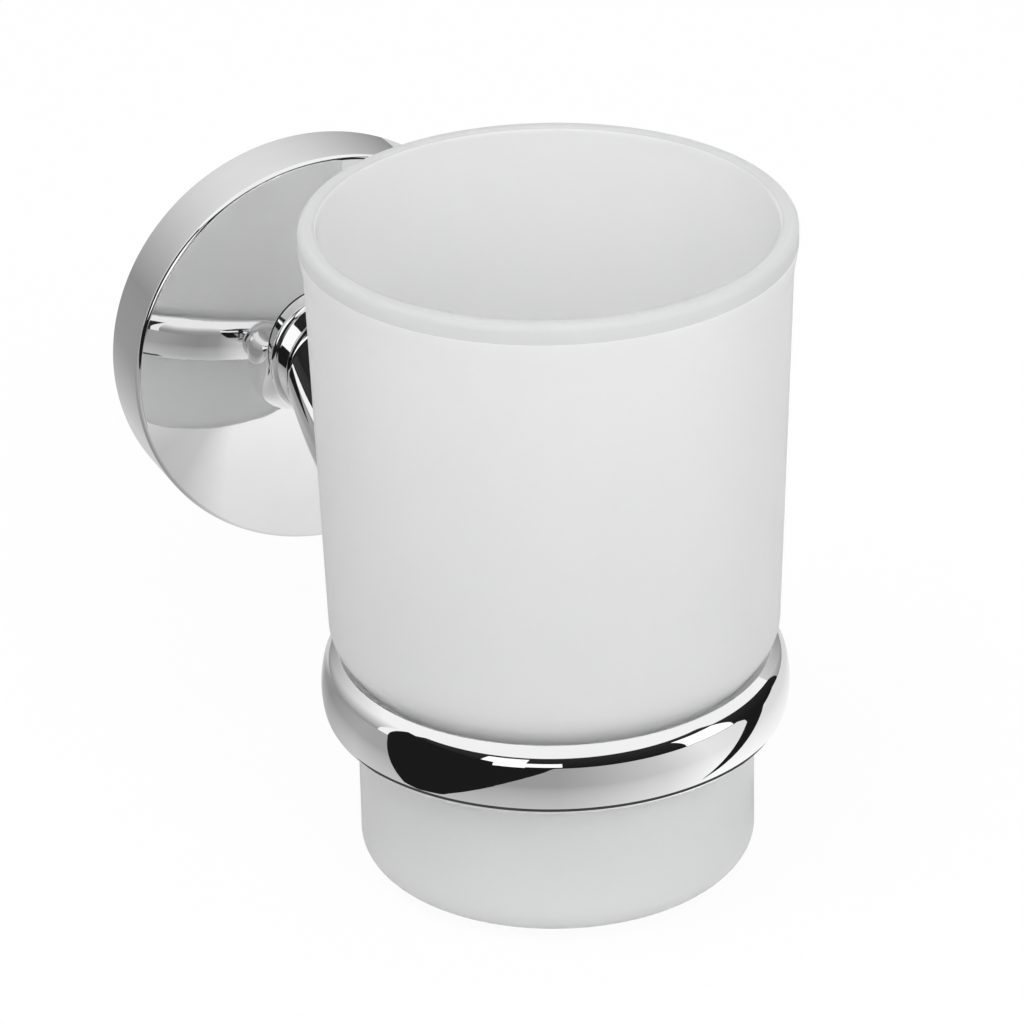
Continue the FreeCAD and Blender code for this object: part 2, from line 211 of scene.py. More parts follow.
@dataclass(frozen=True)
class Finish:
    """A clouded colour, an uneven roughness and a fine grain, as plated steel has. Other finishes change its steps."""

    name: str
    colour: Colour = (0.56, 0.57, 0.58, 1.0)
    shade: Colour = (0.46, 0.47, 0.49, 1.0)
    cloud_scale: float = 160.0
    roughness: tuple[float, float] = (0.28, 0.42)
    patch_scale: float = 320.0
    grain_scale: float = 2200.0
    grain_coarse: float = 0.2
    relief_strength: float = 0.3
    relief_height: float = 0.00003

    @staticmethod
    def mix(tree: Tree, place: tuple[float, float], first: Colour | Socket, second: Colour,
            share: Socket) -> Node:
        """Mixes two colours by a share that changes over the surface.

        Args:
            tree: the material's node tree.
            place: where the node stands in the editor.
            first: colour, or socket of a colour, where the share is 0.
            second: colour where the share is 1.
            share: the socket that gives the share.

        Returns:
            The mix node.
        """
        node = node_at(tree, "ShaderNodeMix", place)
        node.data_type = "RGBA"
        if isinstance(first, Socket):
            tree.links.new(first, node.inputs["A"])
        else:
            node.inputs["A"].default_value = first
        node.inputs["B"].default_value = second
        tree.links.new(share, node.inputs["Factor"])
        return node

    @staticmethod
    def group(tree: Tree, made: Tree, vector: Socket,
              place: tuple[float, float], **values: float) -> Node:
        """Places a shared group in the material with its own values.

        Args:
            tree: the material's node tree.
            made: the shared group.
            vector: coordinates that the group reads.
            place: where the node stands in the editor.
            values: the group's number inputs.

        Returns:
            The group's node.
        """
        node = tree.nodes.new("ShaderNodeGroup")
        node.node_tree = made
        node.location = place
        for name, value in values.items():
            node.inputs[name.replace("_", " ")].default_value = value
        tree.links.new(vector, node.inputs["Vector"])
        return node

    def constants(self) -> dict[str, object]:
        """The shader's inputs that are the same all over the surface."""
        return {"Metallic": 1.0}

    def tint(self, tree: Tree, groups: SurfaceGroups, vector: Socket) -> Socket:
        """Makes the colour's nodes.

        Args:
            tree: the material's node tree.
            groups: the shared groups.
            vector: the Object coordinates.

        Returns:
            The socket of the colour.
        """
        clouds = self.group(tree, groups.mottle, vector, (-1000, 200), Scale=self.cloud_scale, Low=0.0, High=1.0)
        return self.mix(tree, (-700, 250), self.colour, self.shade, clouds.outputs["Value"]).outputs["Result"]

    def relief(self, tree: Tree, groups: SurfaceGroups, vector: Socket) -> Socket:
        """Makes the nodes of the surface's height, from the same three, and returns its socket."""
        grain = self.group(tree, groups.grain, vector, (-1000, -400), Scale=self.grain_scale,
                           Coarse_Share=self.grain_coarse)
        return grain.outputs["Height"]

    def material(self, groups: SurfaceGroups) -> Material:
        """Returns the finished material, built from the shared groups."""
        material = bpy.data.materials.new(self.name)
        material.use_nodes = True
        tree = material.node_tree
        shader = tree.nodes["Principled BSDF"]
        for name, value in self.constants().items():
            shader.inputs[name].default_value = value
        vector = node_at(tree, "ShaderNodeTexCoord", (-1300, 0)).outputs["Object"]
        tree.links.new(self.tint(tree, groups, vector), shader.inputs["Base Color"])
        patches = self.group(tree, groups.mottle, vector, (-1000, -100), Scale=self.patch_scale,
                             Low=self.roughness[0], High=self.roughness[1])
        wire(tree, (patches, "Value", shader, "Roughness"))
        bump = node_at(tree, "ShaderNodeBump", (-450, -400), Strength=self.relief_strength,
                       Distance=self.relief_height)
        tree.links.new(self.relief(tree, groups, vector), bump.inputs["Height"])
        wire(tree, (bump, "Normal", shader, "Normal"))
        return material


@dataclass(frozen=True)
class ChromeFinish(Finish):
    """Mirror-polished plating, with faint polishing clouds, a slight waviness, few dust specks and, where a seam is
    given, a painted shadow along it.
    """

    colour: Colour = (0.90, 0.90, 0.905, 1.0)
    shade: Colour = (0.86, 0.86, 0.865, 1.0)
    cloud_scale: float = 70.0
    roughness: tuple[float, float] = (0.012, 0.035)
    patch_scale: float = 35.0
    relief_height: float = 0.000015
    wave_scale: float = 90.0
    speck: Colour = (0.35, 0.35, 0.35, 1.0)
    speck_scale: float = 150.0
    speck_size: float = 0.035
    # a given seam gets painted shadow: a near-black band at this distance from the wall, in place of the shade in its
    # gap
    seam: float | None = None
    seam_shadow_width: float = 0.0005
    painted_seam_shadow: Colour = (0.02, 0.02, 0.02, 1.0)

    def painted_seam_shadow_mask(self, tree: Tree, vector: Socket) -> Socket:
        """Marks the band where the piece starts, at its distance from the wall, that gets the painted shadow of the
        seam's gap.

        Args:
            tree: the material's node tree.
            vector: the Object coordinates.

        Returns:
            The mask's socket.
        """
        parted = node_at(tree, "ShaderNodeSeparateXYZ", (-1000, 500))
        near = sum_at(tree, "COMPARE", (-800, 500), None, -self.seam, self.seam_shadow_width)
        tree.links.new(vector, parted.inputs["Vector"])
        wire(tree, (parted, "Y", near, 0))
        return near.outputs["Value"]

    def tint(self, tree: Tree, groups: SurfaceGroups, vector: Socket) -> Socket:
        """Adds the dust, and the painted shadow of the seam's gap, to the colour."""
        plain = super().tint(tree, groups, vector)
        specks = self.group(tree, groups.specks, vector, (-1000, -50), Scale=self.speck_scale, Size=self.speck_size)
        dusted_and_shaded = self.mix(tree, (-500, 250), plain, self.speck, specks.outputs["Mask"])
        # paints the seam's shadow
        if self.seam is not None:
            dusted_and_shaded = self.mix(tree, (-300, 250), dusted_and_shaded.outputs["Result"], self.painted_seam_shadow,
                              self.painted_seam_shadow_mask(tree, vector))
        return dusted_and_shaded.outputs["Result"]

    def relief(self, tree: Tree, groups: SurfaceGroups, vector: Socket) -> Socket:
        """Makes a slight waviness in place of the grain."""
        wave = self.group(tree, groups.mottle, vector, (-1000, -500), Scale=self.wave_scale, Low=0.0, High=1.0)
        return wave.outputs["Value"]


@dataclass(frozen=True)
class FrostedGlassFinish(Finish):
    """Acid-etched glass: milky, satin, finely grained, with a darker lip, painted shade towards the foot and a painted
    highlight line under the lip.
    """

    colour: Colour = (0.985, 0.987, 0.987, 1.0)
    shade: Colour = (0.97, 0.973, 0.975, 1.0)
    cloud_scale: float = 55.0
    roughness: tuple[float, float] = (0.46, 0.56)
    patch_scale: float = 120.0
    grain_scale: float = 3200.0
    grain_coarse: float = 0.25
    relief_strength: float = 0.35
    relief_height: float = 0.00004
    # painted shade: the glass is darker towards the foot, where less light falls
    painted_foot_shade: Colour = (0.9, 0.905, 0.907, 1.0)
    painted_foot_shade_levels: tuple[float, float] = (0.035, -0.03)
    lip: Colour = (0.66, 0.665, 0.668, 1.0)
    # painted highlight: a light line along the lip's lower edge, in place of a specular glint
    painted_crease_highlight: Colour = (0.995, 0.996, 0.996, 1.0)
    crease_level: float = 0.04895
    crease_highlight_width: float = 0.00022
    axis: tuple[float, float, float] = (0.0, -0.088, 0.0)
    outside: float = 0.0303
    transmission: float = 0.4
    ior: float = 1.5
    scatter: float = 0.9
    scatter_depth: float = 0.01

    def constants(self) -> dict[str, object]:
        """The shader's inputs that make it glass."""
        return {"IOR": self.ior, "Transmission Weight": self.transmission, "Subsurface Weight": self.scatter,
                "Subsurface Radius": (1.0, 1.0, 1.0), "Subsurface Scale": self.scatter_depth}

    def tint(self, tree: Tree, groups: SurfaceGroups, vector: Socket) -> Socket:
        """Adds painted shade towards the foot, a darker lip band and a painted highlight line at the lip's lower edge.
        """
        plain = super().tint(tree, groups, vector)
        parted = node_at(tree, "ShaderNodeSeparateXYZ", (-1000, 700))
        # share of the painted shade, growing towards the foot
        below = node_at(tree, "ShaderNodeMapRange", (-750, 900),
                        From_Min=self.painted_foot_shade_levels[0], From_Max=self.painted_foot_shade_levels[1])
        above = sum_at(tree, "GREATER_THAN", (-750, 700), None, self.crease_level)
        # mask of the painted highlight line at the lip's lower edge
        near = sum_at(tree, "COMPARE", (-750, 500), None, self.crease_level, self.crease_highlight_width)
        flat = sum_at(tree, "MULTIPLY", (-1000, 1200), None, (1.0, 1.0, 0.0), kind="ShaderNodeVectorMath")
        away = sum_at(tree, "DISTANCE", (-850, 1200), None, self.axis, kind="ShaderNodeVectorMath")
        outer = sum_at(tree, "GREATER_THAN", (-700, 1200), None, self.outside)
        tree.links.new(vector, parted.inputs["Vector"])
        tree.links.new(vector, flat.inputs[0])
        wire(tree, (flat, "Vector", away, 0), (away, "Value", outer, 0))
        for mask, slot in ((below, "Value"), (above, 0), (near, 0)):
            wire(tree, (parted, "Z", mask, slot))
        # paints the shade towards the foot
        tone_with_painted_light = self.mix(tree, (-350, 900), plain, self.painted_foot_shade, below.outputs["Result"])
        # the darker lip band, then the painted highlight line, on the outside only
        for mask, colour, level in ((above, self.lip, 700), (near, self.painted_crease_highlight, 500)):
            both = sum_at(tree, "MULTIPLY", (-550, level))
            wire(tree, (mask, "Value", both, 0), (outer, "Value", both, 1))
            tone_with_painted_light = self.mix(tree, (-350, level), tone_with_painted_light.outputs["Result"], colour, both.outputs["Value"])
        return tone_with_painted_light.outputs["Result"]


class Finishes:
    """All materials of the holder, each made once."""

    def __init__(self) -> None:
        """Builds the shared groups and the materials."""
        groups = SurfaceGroups()
        self.chrome = ChromeFinish("polished_chrome").material(groups)
        # the arm's chrome has the seam's painted shadow
        self.arm_chrome = ChromeFinish("polished_chrome_arm", seam=0.0162).material(groups)
        self.glass = FrostedGlassFinish("etched_glass").material(groups)
        self.zinc = Finish("dull_zinc").material(groups)
        self.steel = Finish("bright_steel", colour=(0.52, 0.52, 0.53, 1.0), shade=(0.44, 0.44, 0.45, 1.0),
                            cloud_scale=400.0, roughness=(0.18, 0.3), patch_scale=800.0,
                            grain_scale=4000.0).material(groups)


@dataclass(frozen=True)
class Corner:
    """One corner of a turned section, in millimetres from its axis and along it, with its rounding."""

    radius: float
    along: float
    rounding: float = 0.0

    @property
    def place(self) -> Vector:
        """The corner in the section's plane."""
        return Vector((self.radius, 0.0, self.along))


@dataclass
class Piece:
    """What every built piece has: its body, its slot and the node that it stands for."""

    name: str
    node: str
    body: Body
    slot: Slot

    def finish_mesh(self, mesh: Mesh, material: Material,
                    sharp_angle: float = 50.0) -> Object:
        """Turns a bmesh into the piece's object and hangs it on its body.

        Args:
            mesh: the finished bmesh in metres, which is freed here.
            material: the piece's material.
            sharp_angle: edges that turn more than this many degrees stay sharp.

        Returns:
            The new object.
        """
        bmesh.ops.remove_doubles(mesh, verts=mesh.verts, dist=MERGE)
        bmesh.ops.recalc_face_normals(mesh, faces=mesh.faces)
        for face in mesh.faces:
            face.smooth = True
        made = placed_mesh(self.name, mesh)
        made.data.set_sharp_from_angle(angle=math.radians(sharp_angle))
        made.data.materials.append(material)
        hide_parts(self.node)
        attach(made, self.body.value)
        LOG.info("%s: %d faces, stands for %s", self.name, len(made.data.polygons), self.node)
        return made


@dataclass
class TurnedPiece(Piece):
    """A piece turned about an axis from a section with rounded corners."""

    steps: int = 256
    doublings: int = 4
    arc_step: float = 3.0
    fewest_steps: int = 8
    longest_run: float = 4.0

    def corners(self) -> list[Corner]:
        """The section's corners in order."""
        raise NotImplementedError

    def draw_section(self, mesh: Mesh, corners: list[Corner], closed: bool) -> None:
        """Draws the section as a chain of edges, with each rounding swept by a spin.

        Args:
            mesh: bmesh that gets the edges, in millimetres.
            corners: the section's corners in order.
            closed: whether the last corner joins the first.
        """
        chain: list[bmesh.types.BMVert] = []
        for i, corner in enumerate(corners):
            if corner.rounding == 0.0:
                chain.append(mesh.verts.new(corner.place))
                continue
            back = (corners[i - 1].place - corner.place).normalized()
            ahead = (corners[(i + 1) % len(corners)].place - corner.place).normalized()
            half = back.angle(ahead) / 2
            centre = corner.place + (back + ahead).normalized() * (corner.rounding / math.sin(half))
            start = mesh.verts.new(corner.place + back * (corner.rounding / math.tan(half)))
            turn = math.pi - 2 * half
            swept = bmesh.ops.spin(mesh, geom=[start], cent=centre, axis=ahead.cross(back).normalized(), angle=turn,
                                   steps=max(self.fewest_steps, math.ceil(math.degrees(turn) / self.arc_step)))
            arc = [start]
            while arc[-1] is not swept["geom_last"][0]:
                arc.append(next(v for e in arc[-1].link_edges for v in e.verts if v not in arc))
            chain += arc
        pairs = list(zip(chain, chain[1:]))
        if closed:
            pairs.append((chain[-1], chain[0]))
        for first, second in pairs:
            if mesh.edges.get((first, second)) is None:
                mesh.edges.new((first, second))
        for edge in list(mesh.edges):
            cuts = math.ceil(edge.calc_length() / self.longest_run) - 1
            if cuts > 0:
                bmesh.ops.subdivide_edges(mesh, edges=[edge], cuts=cuts)

    def turned(self, closed: bool, placement: Matrix) -> Mesh:
        """Turns the section about its axis.

        Args:
            closed: whether the section is a closed ring, or starts and ends on the axis.
            placement: sets the turned shape in the part's frame, from millimetres.

        Returns:
            The turned bmesh in metres.
        """
        mesh = bmesh.new()
        self.draw_section(mesh, self.corners(), closed)
        turn = 2 * math.pi / 2 ** self.doublings
        bmesh.ops.spin(mesh, geom=mesh.verts[:] + mesh.edges[:], cent=(0, 0, 0), axis=(0, 0, 1),
                       angle=turn, steps=self.steps // 2 ** self.doublings)
        for i in range(self.doublings):
            copied = bmesh.ops.duplicate(mesh, geom=mesh.verts[:] + mesh.edges[:] + mesh.faces[:])["geom"]
            bmesh.ops.rotate(mesh, cent=(0, 0, 0), matrix=Matrix.Rotation(turn * 2 ** i, 3, "Z"),
                             verts=verts_of(copied))
        bmesh.ops.transform(mesh, matrix=placement, verts=mesh.verts)
        return mesh


def upright_at(reach: float, level: float) -> Matrix:
    """Placement of an upright turned piece, from its reach in front of the wall and its level in millimetres."""
    return Matrix.Translation((0, -reach * MM, level * MM)) @ Matrix.Scale(MM, 4)


def outward_from_wall() -> Matrix:
    """Placement of a piece turned about the rosette's axis, which points away from the wall."""
    return Matrix.Rotation(math.radians(90), 4, "X") @ Matrix.Scale(MM, 4)


@dataclass
class Tumbler(TurnedPiece):
    """Frosted glass tumbler: flared lip, tapering body, rounded shoulder, stepped foot and a shallow punt."""

    reach: float = 88.0
    base_level: float = -41.25
    height: float = 93.1
    lip_radius: float = 32.5
    lip_flare: float = 0.6
    lip_band: float = 2.9
    lip_blend: float = 3.8
    shoulder_radius: float = 30.15
    shoulder_top: float = 34.3
    step_height: float = 30.6
    step_radius: float = 27.5
    foot_radius: float = 26.7
    foot_bevel_width: float = 4.6
    foot_bevel_height: float = 2.2
    wall: float = 2.4
    base: float = 5.0
    punt_radius: float = 17.0
    punt_depth: float = 1.2
    punt_slope: float = 2.0

    def corners(self) -> list[Corner]:
        """The section from the middle of the punt round to the middle of the floor inside."""
        lip_widest = self.height - self.lip_band
        return [
            Corner(0, self.punt_depth),
            Corner(self.punt_radius - self.punt_slope, self.punt_depth, 1.5),
            Corner(self.punt_radius, 0, 1.0),
            Corner(self.foot_radius - self.foot_bevel_width, 0, 8.0),
            Corner(self.foot_radius, self.foot_bevel_height, 3.0),
            Corner(self.foot_radius, self.step_height),
            Corner(self.step_radius, self.step_height, 0.3),
            Corner(self.shoulder_radius, self.shoulder_top, 5.0),
            Corner(self.lip_radius - self.lip_flare, lip_widest - self.lip_blend, 3.8),
            Corner(self.lip_radius, lip_widest, 0.5),
            Corner(self.lip_radius, self.height, 1.1),
            Corner(self.lip_radius - self.wall, self.height, 0.9),
            Corner(self.shoulder_radius - self.wall, self.shoulder_top, 5.0),
            Corner(self.foot_radius - self.wall, self.step_height, 5.0),
            Corner(self.foot_radius - self.wall, self.base, 6.0),
            Corner(0, self.base),
        ]

    def build(self, finishes: Finishes) -> Object:
        """Builds and dresses the tumbler."""
        mesh = self.turned(False, upright_at(self.reach, self.base_level))
        return self.finish_mesh(mesh, finishes.glass)


@dataclass
class HolderRing(TurnedPiece):
    """Chromed ring: swelling side, tight brow, bevelled top edge and the rebate that the tumbler stands in."""

    reach: float = 88.0
    hole_radius: float = 27.05
    top: float = -9.65
    bottom: float = -20.15
    rebate_radius: float = 28.9
    ledge: float = -10.75
    edge_radius: float = 30.1
    edge_level: float = -10.6
    brow_radius: float = 30.85
    brow_level: float = -11.25
    swell_radius: float = 31.75
    swell_level: float = -15.0
    side_lean: float = 1.0
    arc_step: float = 1.5

    def corners(self) -> list[Corner]:
        """The closed section of the ring."""
        return [
            Corner(self.swell_radius - self.side_lean, self.bottom, 2.9),
            Corner(self.swell_radius, self.swell_level, 12.5),
            Corner(self.brow_radius, self.brow_level, 3.0),
            Corner(self.edge_radius, self.edge_level),
            Corner(self.rebate_radius, self.top, 0.15),
            Corner(self.rebate_radius, self.ledge, 0.1),
            Corner(self.hole_radius, self.ledge, 0.1),
            Corner(self.hole_radius, self.bottom, 0.4),
        ]

    def build(self, finishes: Finishes) -> Object:
        """Builds and dresses the ring."""
        return self.finish_mesh(self.turned(True, upright_at(self.reach, 0)), finishes.chrome)


@dataclass
class HolderArm(Piece):
    """Round chromed arm that tapers and falls from the rosette's neck into the back of the ring."""

    seam: float = 16.2
    end: float = 57.9
    run_in: float = 1.1
    drop: float = 15.2
    neck_radius: float = 9.5
    end_radius: float = 4.6
    fall_power: float = 3.0
    taper_power: float = 1.8
    seam_gap: float = 0.12
    seam_round: float = 0.3
    seam_steps: int = 6
    seam_run: float = 0.5
    seam_depth: float = 0.45
    braze: float = 0.6
    ring_side: float = 56.45
    stations: int = 96
    sides: int = 128

    def station(self, share: float) -> tuple[Vector, float]:
        """Middle and radius of the arm's section at a share of its way, in millimetres."""
        depth = self.seam + share * (self.end - self.seam)
        level = -self.drop * (1 - max(0.0, 1 - share) ** self.fall_power)
        radius = self.neck_radius + min(1.0, share) ** self.taper_power * (self.end_radius - self.neck_radius)
        clear = min(self.braze, max(0.0, self.ring_side - depth))
        fillet = self.braze - math.sqrt(self.braze ** 2 - (self.braze - clear) ** 2)
        return Vector((0, -depth, level)), radius + fillet

    def spots(self) -> list[tuple[Vector, float]]:
        """Middles and radii of all sections after the first: the seam's rounding, then the run to the ring."""
        start, radius = self.station(0.0)
        found = [(start - Vector((0, self.seam_gap, 0)), radius - self.seam_depth)]
        for i in range(self.seam_steps + 1):
            angle = math.radians(90 * i / self.seam_steps)
            shift = self.seam_gap + self.seam_round * (1 - math.cos(angle))
            found.append((start - Vector((0, shift, 0)), radius - self.seam_round * (1 - math.sin(angle))))
        far = 1 + self.run_in / (self.end - self.seam)
        first = self.seam_run / (self.end - self.seam)
        return found + [self.station(first + (far - first) * i / self.stations) for i in range(self.stations + 1)]

    def build(self, finishes: Finishes) -> Object:
        """Builds the arm by extruding a circle from station to station, and dresses it."""
        mesh = bmesh.new()
        centre, size = self.station(0.0)[0], self.neck_radius - self.seam_depth
        bmesh.ops.create_circle(mesh, cap_ends=True, cap_tris=True, segments=self.sides, radius=size,
                                matrix=Matrix.Translation(centre) @ Matrix.Rotation(math.radians(90), 4, "X"))
        rim = [edge for edge in mesh.edges if edge.is_boundary]
        for middle, radius in self.spots():
            grown = bmesh.ops.extrude_edge_only(mesh, edges=rim)["geom"]
            rim = [item for item in grown if isinstance(item, bmesh.types.BMEdge) and item.is_boundary]
            step = Matrix.Translation(middle) @ Matrix.Scale(radius / size, 4) @ Matrix.Translation(-centre)
            bmesh.ops.transform(mesh, matrix=step, verts=verts_of(grown))
            centre, size = middle, radius
        bmesh.ops.contextual_create(mesh, geom=rim)
        bmesh.ops.scale(mesh, vec=(MM, MM, MM), verts=mesh.verts)
        return self.finish_mesh(mesh, finishes.arm_chrome)


@dataclass
class Rosette(TurnedPiece):
    """Chromed wall cover: plain rim, low face, short neck, the hollow for the bracket and a hole under its rim."""

    radius: float = 29.8
    rim_depth: float = 9.9
    rim_wall: float = 3.4
    crown_radius: float = 20.0
    crown_depth: float = 10.92
    crown_round: float = 700.0
    neck_radius: float = 9.5
    neck_base: float = 11.8
    seam: float = 16.2
    face_wall: float = 2.1
    boss_face: float = 12.0
    counterbore: float = 5.6
    shank_radius: float = 2.75
    hole_radius: float = 2.05
    hole_depth: float = 5.0
    hole_sides: int = 48
    rim_round: float = 0.7
    neck_round: float = 0.8
    sharp_angle: float = 40.0
    arc_step: float = 2.0

    def corners(self) -> list[Corner]:
        """The closed section of the cover, with the crown of the face as one wide rounding."""
        inside = self.radius - self.rim_wall
        return [
            Corner(inside, 0, 0.3),
            Corner(self.radius, 0, 0.25),
            Corner(self.radius, self.rim_depth, self.rim_round),
            Corner(self.crown_radius, self.crown_depth, self.crown_round),
            Corner(self.neck_radius, self.neck_base, self.neck_round),
            Corner(self.neck_radius, self.seam, 0.2),
            Corner(self.shank_radius, self.seam),
            Corner(self.shank_radius, self.boss_face),
            Corner(self.counterbore, self.boss_face),
            Corner(self.counterbore, self.crown_depth - self.face_wall),
            Corner(self.crown_radius, self.crown_depth - self.face_wall),
            Corner(inside, self.rim_depth - self.face_wall, 0.6),
        ]

    def bore(self, cover: Object) -> None:
        """Bores the set screw's hole through the underside of the rim.

        Args:
            cover: the turned cover, whose mesh is bored.
        """
        mesh = bmesh.new()
        place = Matrix.Translation((0, -self.hole_depth, -self.radius))
        bmesh.ops.create_cone(mesh, cap_ends=True, segments=self.hole_sides, radius1=self.hole_radius,
                              radius2=self.hole_radius, depth=4 * self.rim_wall, matrix=place)
        bmesh.ops.scale(mesh, vec=(MM, MM, MM), verts=mesh.verts)
        drill = placed_mesh("bore", mesh)
        cut = cover.modifiers.new("set_screw_hole", "BOOLEAN")
        cut.operation, cut.solver, cut.object = "DIFFERENCE", "EXACT", drill
        bored = bpy.data.meshes.new_from_object(cover.evaluated_get(bpy.context.evaluated_depsgraph_get()))
        cover.modifiers.remove(cut)
        spent, cover.data = [cover.data, drill.data], bored
        bored.set_sharp_from_angle(angle=math.radians(self.sharp_angle))
        bpy.data.objects.remove(drill)
        for data in spent:
            bpy.data.meshes.remove(data)

    def build(self, finishes: Finishes) -> Object:
        """Builds, bores and dresses the cover."""
        cover = self.finish_mesh(self.turned(True, outward_from_wall()), finishes.chrome, self.sharp_angle)
        self.bore(cover)
        return cover


@dataclass
class HiddenFixing:
    """Bracket, screws and pin behind and under the cover, which keep their solids' shapes."""

    zinc_nodes: tuple[str, ...] = ("wall_bracket",)
    steel_nodes: tuple[str, ...] = ("arm_screw", "lock_washer", "locating_pin", "set_screw")

    def dress(self, nodes: dict[str, Object], finishes: Finishes) -> None:
        """Gives each node its finish.

        Args:
            nodes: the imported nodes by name.
            finishes: the holder's materials.
        """
        for names, material in ((self.zinc_nodes, finishes.zinc), (self.steel_nodes, finishes.steel)):
            for name in names:
                nodes[name].data.materials[0] = material
                LOG.info("%s: dressed in %s", name, material.name)


@dataclass(frozen=True)
class Card:
    """A studio card round the tumbler that only the polished metal mirrors, glowing with painted light for the lit and
    dark surroundings.

    Sweeps are in degrees from the camera's side, positive to its right, and tones run from foot to top. The fall is
    how far the card sinks along its sweep.
    """

    name: str
    sweep: tuple[float, float]
    distance: float
    heights: tuple[float, float]
    tones: tuple[float, float]
    fall: float = 0.0


@dataclass(frozen=True)
class Lamp:
    """A soft square lamp: its place in the studio's frame and its edge in metres, and its power in watts."""

    name: str
    place: tuple[float, float, float]
    size: float
    power: float


@dataclass
class Studio:
    """Plain white studio: pale floor, soft lamps, and the dark and white cards that the chrome mirrors."""

    floor_level: float = -0.0413
    facing: float = -23.356
    middle: Vector = field(default_factory=lambda: Vector((0, -0.088, 0)))
    fill: float = 0.96
    paper_glow: float = 0.94
    paper_shade: float = 0.75
    # painted light: in reflections the floor shows brighter close to the tumbler
    painted_near_light: float = 0.3
    painted_near_range: tuple[float, float] = (0.045, 0.1)
    floor_size: float = 6.0
    # painted light and shade of the floor in reflections, by angle round the tumbler
    painted_floor_light: tuple[tuple[float, float], ...] = (
        (-180, 0.7), (-145, 0.64), (-134, 0.34), (-122, 0.3), (-95, 0.42), (-40, 0.34),
        (0, 0.37), (43, 0.62), (66, 0.88), (120, 0.78), (180, 0.7))
    black: float = 0.012
    card_steps: int = 48
    card_lift: float = 0.0005
    left_edge: float = -0.035
    left_card_ends: tuple[float, float] = (0.0225, 0.075)
    left_card_height: float = 0.045
    left_floor: tuple[tuple[float, float], ...] = (
        (-0.035, -0.05), (-0.035, -2.4), (-2.4, -2.4), (-2.4, -0.3), (-0.2, -0.07))
    right_gap: tuple[tuple[float, float], ...] = (
        (0.042, -0.026), (0.14, 0.004), (1.9, 0.08), (1.9, 0.55), (1.65, 1.1))
    shade_sweep: tuple[float, float] = (-100, 112)
    shade_radii: tuple[float, float] = (0.031, 0.041)
    shade_tone: float = 0.06
    shade_steps: int = 64
    shade_lift: float = 0.0004
    lamps: tuple[Lamp, ...] = (
        Lamp("key_lamp", (0.4, -0.85, 0.62), 0.7, 3.6), Lamp("mouth_lamp", (-0.25, -0.3, 0.9), 0.5, 2.6))
    # cards glowing with the painted light of the surroundings, seen only in reflections
    cards: tuple[Card, ...] = (
        Card("dark_room", (-84, 93), 2.4, (0.0, 2.7), (0.012, 0.03)),
        Card("dim_stand", (-82, -70), 2.3, (0.0, 1.3), (0.05, 0.03)),
        Card("dim_table", (-62, -44), 2.3, (0.1, 0.5), (0.045, 0.045)),
        Card("left_softbox", (-37, -15), 2.2, (0.06, 1.9), (1.25, 1.25)),
        Card("left_softbox_edge", (-15, 2), 2.2, (0.2, 0.9), (1.25, 1.25)),
        Card("right_softbox", (62, 90), 2.2, (0.05, 1.7), (1.25, 1.25)),
        Card("right_dark_screen", (90, 131), 2.0, (0.0, 1.7), (0.012, 0.03), 0.9),
        Card("back_wall", (-229, -92), 2.4, (0.0, 2.0), (0.3, 1.0)),
    )

    def frame(self) -> Matrix:
        """The studio's own frame: X to the camera's right, Y away from the camera, on the floor at the tumbler."""
        turn = Matrix.Rotation(math.radians(self.facing), 4, "Z")
        return Matrix.Translation((self.middle.x, self.middle.y, self.floor_level)) @ turn

    def stage(self, mesh: Mesh, name: str, material: Material, mirrored_only: bool) -> None:
        """Puts a bmesh into the scene as a studio object.

        Args:
            mesh: the bmesh in the part's frame, which is freed here.
            name: the object's name.
            material: its material.
            mirrored_only: whether only reflections show it.
        """
        made = placed_mesh(name, mesh)
        made.data.materials.append(material)
        if mirrored_only:
            made.visible_camera = made.visible_diffuse = made.visible_shadow = False
            made.visible_transmission = made.visible_volume_scatter = False
        LOG.info("%s: stage", name)

    def glow(self, name: str, heights: tuple[float, float], tones: tuple[float, float]) -> Material:
        """Makes a card's material, whose tone runs from its foot to its top.

        Args:
            name: the material's name.
            heights: levels of the card's foot and top in metres.
            tones: brightness at the foot and at the top.

        Returns:
            The material.
        """
        material = bpy.data.materials.new(name)
        material.use_nodes = True
        tree = material.node_tree
        tree.nodes.clear()
        place = node_at(tree, "ShaderNodeTexCoord", (-800, 0))
        parted = node_at(tree, "ShaderNodeSeparateXYZ", (-600, 0))
        ramp = node_at(tree, "ShaderNodeMapRange", (-400, 0), From_Min=heights[0], From_Max=heights[1],
                       To_Min=tones[0], To_Max=tones[1])
        light = node_at(tree, "ShaderNodeEmission", (-150, 0), Color=(1, 1, 1, 1))
        end = node_at(tree, "ShaderNodeOutputMaterial", (100, 0))
        wire(tree, (place, "Object", parted, "Vector"), (parted, "Z", ramp, "Value"),
             (ramp, "Result", light, "Strength"), (light, "Emission", end, "Surface"))
        return material

    def stand_card(self, card: Card) -> None:
        """Stands one curved card round the tumbler by spinning its upright edge."""
        low, high = (self.floor_level + height for height in card.heights)
        mesh = bmesh.new()
        turned = Matrix.Rotation(math.radians(card.sweep[0]), 4, "Z")
        foot = self.frame() @ turned @ Vector((0, -card.distance, card.heights[0]))
        edge = mesh.edges.new([mesh.verts.new(foot), mesh.verts.new(foot + Vector((0, 0, high - low)))])
        bmesh.ops.spin(mesh, geom=list(edge.verts) + [edge], cent=self.middle, axis=(0, 0, 1),
                       dvec=(0, 0, -card.fall / self.card_steps),
                       angle=math.radians(card.sweep[1] - card.sweep[0]), steps=self.card_steps)
        self.stage(mesh, card.name, self.glow(card.name, (low, high), card.tones), True)

